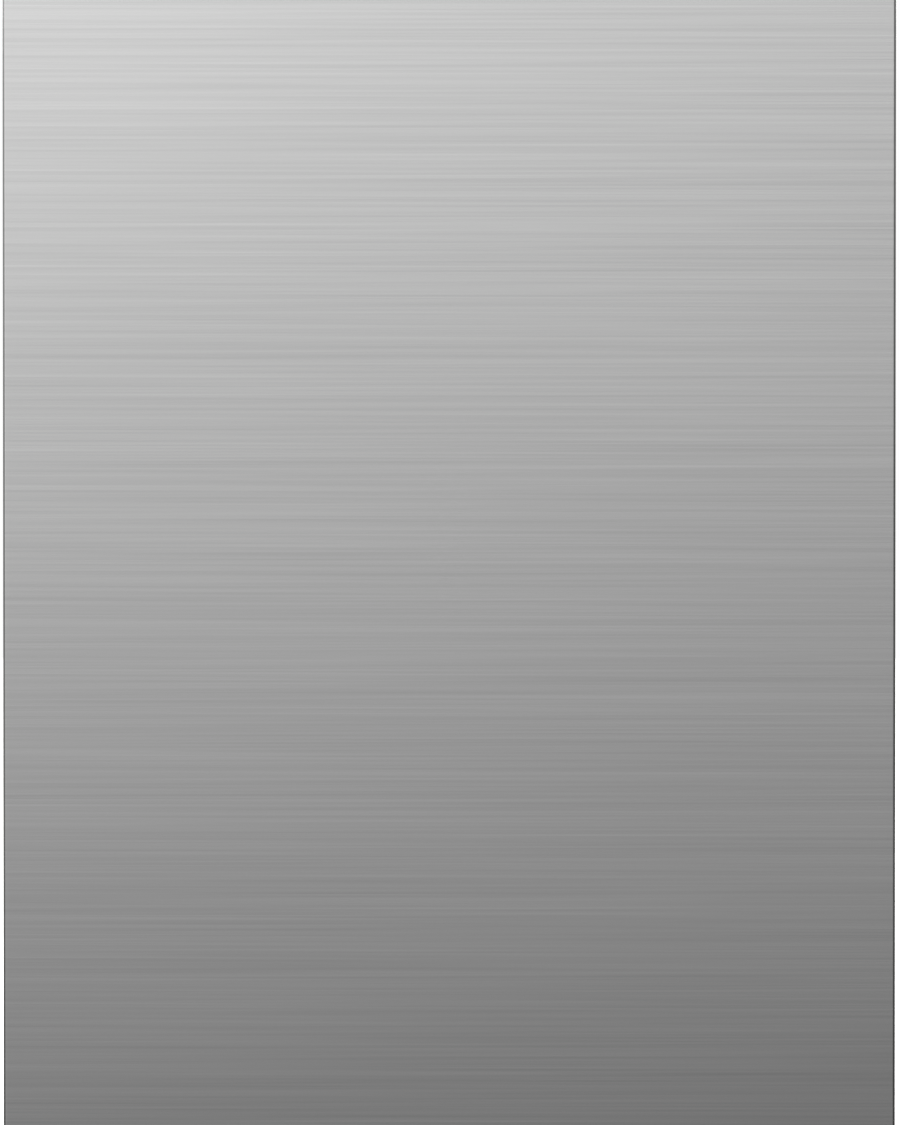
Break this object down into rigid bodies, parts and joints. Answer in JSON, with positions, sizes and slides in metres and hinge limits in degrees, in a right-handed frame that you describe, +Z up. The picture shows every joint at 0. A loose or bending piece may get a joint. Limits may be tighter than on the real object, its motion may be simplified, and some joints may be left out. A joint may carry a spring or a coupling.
{
  "type": "built in dishwasher",
  "caption": "Built in dishwasher with a plain brushed steel door, hidden top controls, sliding racks, spray arms, pumps and balanced hinge",
  "frame": {"origin": "on the floor, under the middle of the machine's width and depth", "axes": "+Z up, the door faces -Y, +X to the right of a person who faces the door"},
  "size_m": [0.604, 0.616, 0.864],
  "materials": {
    "brushed_steel_panel": "horizontally brushed stainless steel, satin",
    "tub_steel": "bright cold rolled stainless steel",
    "zinc_steel": "galvanised sheet, matt spangle",
    "spring_steel": "oiled spring steel",
    "black_plastic": "fine grained black plastic",
    "grey_plastic": "satin grey plastic",
    "white_plastic": "satin white plastic",
    "coated_wire": "grey nylon coating over steel wire",
    "rubber": "matt black rubber",
    "felt": "needled fibre blanket with a dark bitumen skin",
    "rope": "braided cord",
    "circuit_board": "green solder mask"
  },
  "bodies": {
    "cabinet": {"base_tray": "black_plastic", "toe_kick": "black_plastic", "frame_right": "zinc_steel", "frame_left": "zinc_steel", "hinge_pin_right": "spring_steel", "hinge_pin_left": "spring_steel", "top_crossbar": "zinc_steel", "strike": "zinc_steel", "tub": "tub_steel", "door_gasket": "rubber", "insulation_blanket": "felt", "sump": "grey_plastic", "filter_plate": "tub_steel", "feed_tube": "grey_plastic", "circulation_pump": "white_plastic", "pump_hose": "rubber", "drain_pump": "white_plastic", "drain_hose": "rubber", "inlet_valve": "white_plastic", "fill_hose": "rubber", "terminal_box": "zinc_steel", "rail_fixed_right": "zinc_steel", "rail_fixed_left": "zinc_steel", "door_spring_right": "spring_steel", "door_spring_left": "spring_steel"},
    "door": {"door_panel": "brushed_steel_panel", "door_liner": "tub_steel", "control_fascia": "black_plastic", "control_board": "circuit_board", "dispenser_body": "grey_plastic", "hinge_arm_right": "zinc_steel", "hinge_arm_left": "zinc_steel"},
    "power_button": {"button_power": "black_plastic"},
    "program_button": {"button_program": "black_plastic"},
    "options_button": {"button_options": "black_plastic"},
    "start_button": {"button_start": "black_plastic"},
    "latch": {"latch_pawl": "spring_steel"},
    "detergent_lid": {"dispenser_lid": "grey_plastic"},
    "rinse_cap": {"rinse_aid_cap": "grey_plastic"},
    "right_spring_hook": {"spring_hook_right": "rope"},
    "left_spring_hook": {"spring_hook_left": "rope"},
    "lower_rack": {"lower_rack": "coated_wire"},
    "front_left_wheel": {"wheel_front_left": "grey_plastic"},
    "front_right_wheel": {"wheel_front_right": "grey_plastic"},
    "rear_left_wheel": {"wheel_rear_left": "grey_plastic"},
    "rear_right_wheel": {"wheel_rear_right": "grey_plastic"},
    "folding_tines": {"tine_row": "coated_wire"},
    "basket": {"cutlery_basket": "grey_plastic"},
    "middle_rails": {"rail_middle_right": "zinc_steel", "rail_middle_left": "zinc_steel"},
    "upper_rack": {"upper_rack": "coated_wire"},
    "cup_shelf": {"cup_shelf": "grey_plastic"},
    "upper_arm": {"upper_spray_arm": "grey_plastic"},
    "lower_arm": {"lower_spray_arm": "grey_plastic"},
    "impeller": {"pump_impeller": "white_plastic"},
    "filter": {"filter_cylinder": "grey_plastic"},
    "float": {"overfill_float": "grey_plastic"},
    "front_left_foot": {"foot_front_left": "black_plastic"},
    "front_right_foot": {"foot_front_right": "black_plastic"},
    "rear_foot": {"foot_rear": "black_plastic"}
  },
  "joints": [
    {"name": "door_hinge", "type": "hinge", "parent": "cabinet", "child": "door", "pos_m": [0, -0.286, 0.122], "axis": [1, 0, 0], "range_deg": [0, 90]},
    {"name": "power_press", "type": "slide", "parent": "door", "child": "power_button", "axis": [0, 0, -1], "range_m": [0, 0.0012], "stiffness_N_per_m": 900, "springref_m": -0.0006},
    {"name": "program_press", "type": "slide", "parent": "door", "child": "program_button", "axis": [0, 0, -1], "range_m": [0, 0.0012], "stiffness_N_per_m": 900, "springref_m": -0.0006},
    {"name": "options_press", "type": "slide", "parent": "door", "child": "options_button", "axis": [0, 0, -1], "range_m": [0, 0.0012], "stiffness_N_per_m": 900, "springref_m": -0.0006},
    {"name": "start_press", "type": "slide", "parent": "door", "child": "start_button", "axis": [0, 0, -1], "range_m": [0, 0.0012], "stiffness_N_per_m": 900, "springref_m": -0.0006},
    {"name": "latch_swing", "type": "hinge", "parent": "door", "child": "latch", "pos_m": [0, -0.276, 0.8477], "axis": [1, 0, 0], "range_deg": [-5, 0], "stiffness_Nm_per_rad": 0.6, "springref_deg": 2.86},
    {"name": "lid_slide", "type": "slide", "parent": "door", "child": "detergent_lid", "axis": [1, 0, 0], "range_m": [0, 0.092]},
    {"name": "cap_turn", "type": "hinge", "parent": "door", "child": "rinse_cap", "pos_m": [0.078, -0.232, 0.598], "axis": [0, -1, 0], "range_deg": [0, 90]},
    {"name": "right_spring_pull", "type": "slide", "parent": "cabinet", "child": "right_spring_hook", "axis": [0, -1, 0], "range_m": [0, 0.0707], "deforming": ["door_spring_right"]},
    {"name": "left_spring_pull", "type": "slide", "parent": "cabinet", "child": "left_spring_hook", "axis": [0, -1, 0], "range_m": [0, 0.0707], "deforming": ["door_spring_left"]},
    {"name": "lower_rack_slide", "type": "slide", "parent": "cabinet", "child": "lower_rack", "axis": [0, -1, 0], "range_m": [0, 0.1697]},
    {"name": "front_left_wheel_roll", "type": "hinge", "parent": "lower_rack", "child": "front_left_wheel", "pos_m": [-0.2523, -0.121, 0.188], "axis": [1, 0, 0], "range_deg": [0, 540.1]},
    {"name": "front_right_wheel_roll", "type": "hinge", "parent": "lower_rack", "child": "front_right_wheel", "pos_m": [0.2523, -0.121, 0.188], "axis": [1, 0, 0], "range_deg": [0, 540.1]},
    {"name": "rear_left_wheel_roll", "type": "hinge", "parent": "lower_rack", "child": "rear_left_wheel", "pos_m": [-0.2523, 0.2185, 0.188], "axis": [1, 0, 0], "range_deg": [0, 540.1]},
    {"name": "rear_right_wheel_roll", "type": "hinge", "parent": "lower_rack", "child": "rear_right_wheel", "pos_m": [0.2523, 0.2185, 0.188], "axis": [1, 0, 0], "range_deg": [0, 540.1]},
    {"name": "tine_fold", "type": "hinge", "parent": "lower_rack", "child": "folding_tines", "pos_m": [-0.1738, 0, 0.223], "axis": [0, 1, 0], "range_deg": [0, 90]},
    {"name": "basket_lift", "type": "slide", "parent": "lower_rack", "child": "basket", "axis": [0, 0, 1], "range_m": [0, 0.08]},
    {"name": "rail_extend", "type": "slide", "parent": "cabinet", "child": "middle_rails", "axis": [0, -1, 0], "range_m": [0, 0.22]},
    {"name": "upper_rack_slide", "type": "slide", "parent": "cabinet", "child": "upper_rack", "axis": [0, -1, 0], "range_m": [0, 0.44]},
    {"name": "shelf_fold", "type": "hinge", "parent": "upper_rack", "child": "cup_shelf", "pos_m": [-0.2188, 0, 0.58], "axis": [0, -1, 0], "range_deg": [0, 85]},
    {"name": "upper_arm_spin", "type": "hinge", "parent": "upper_rack", "child": "upper_arm", "pos_m": [0, 0.02, 0.47], "axis": [0, 0, 1], "continuous": true},
    {"name": "lower_arm_spin", "type": "hinge", "parent": "cabinet", "child": "lower_arm", "pos_m": [0, 0.02, 0.184], "axis": [0, 0, 1], "continuous": true},
    {"name": "impeller_spin", "type": "hinge", "parent": "cabinet", "child": "impeller", "pos_m": [-0.1892, 0.064, 0.1008], "axis": [1, 0, 0], "continuous": true},
    {"name": "filter_twist", "type": "hinge", "parent": "cabinet", "child": "filter", "pos_m": [0.046, -0.022, 0.156], "axis": [0, 0, -1], "range_deg": [0, 90]},
    {"name": "float_rise", "type": "slide", "parent": "cabinet", "child": "float", "axis": [0, 0, 1], "range_m": [0, 0.015]},
    {"name": "front_left_foot_screw", "type": "slide", "parent": "cabinet", "child": "front_left_foot", "axis": [0, 0, -1], "range_m": [0, 0.03]},
    {"name": "front_right_foot_screw", "type": "slide", "parent": "cabinet", "child": "front_right_foot", "axis": [0, 0, -1], "range_m": [0, 0.03]},
    {"name": "rear_foot_screw", "type": "slide", "parent": "cabinet", "child": "rear_foot", "axis": [0, 0, -1], "range_m": [0, 0.03]}
  ],
  "couplings": [
    {"joint": "right_spring_pull", "follows": "door_hinge", "m_per_rad": 0.045},
    {"joint": "left_spring_pull", "follows": "door_hinge", "m_per_rad": 0.045},
    {"joint": "lower_rack_slide", "follows": "door_hinge", "m_per_rad": 0.108},
    {"joint": "rail_extend", "follows": "door_hinge", "m_per_rad": 0.14},
    {"joint": "upper_rack_slide", "follows": "door_hinge", "m_per_rad": 0.28},
    {"joint": "front_left_wheel_roll", "follows": "door_hinge", "ratio": 6},
    {"joint": "front_right_wheel_roll", "follows": "door_hinge", "ratio": 6},
    {"joint": "rear_left_wheel_roll", "follows": "door_hinge", "ratio": 6},
    {"joint": "rear_right_wheel_roll", "follows": "door_hinge", "ratio": 6}
  ]
}
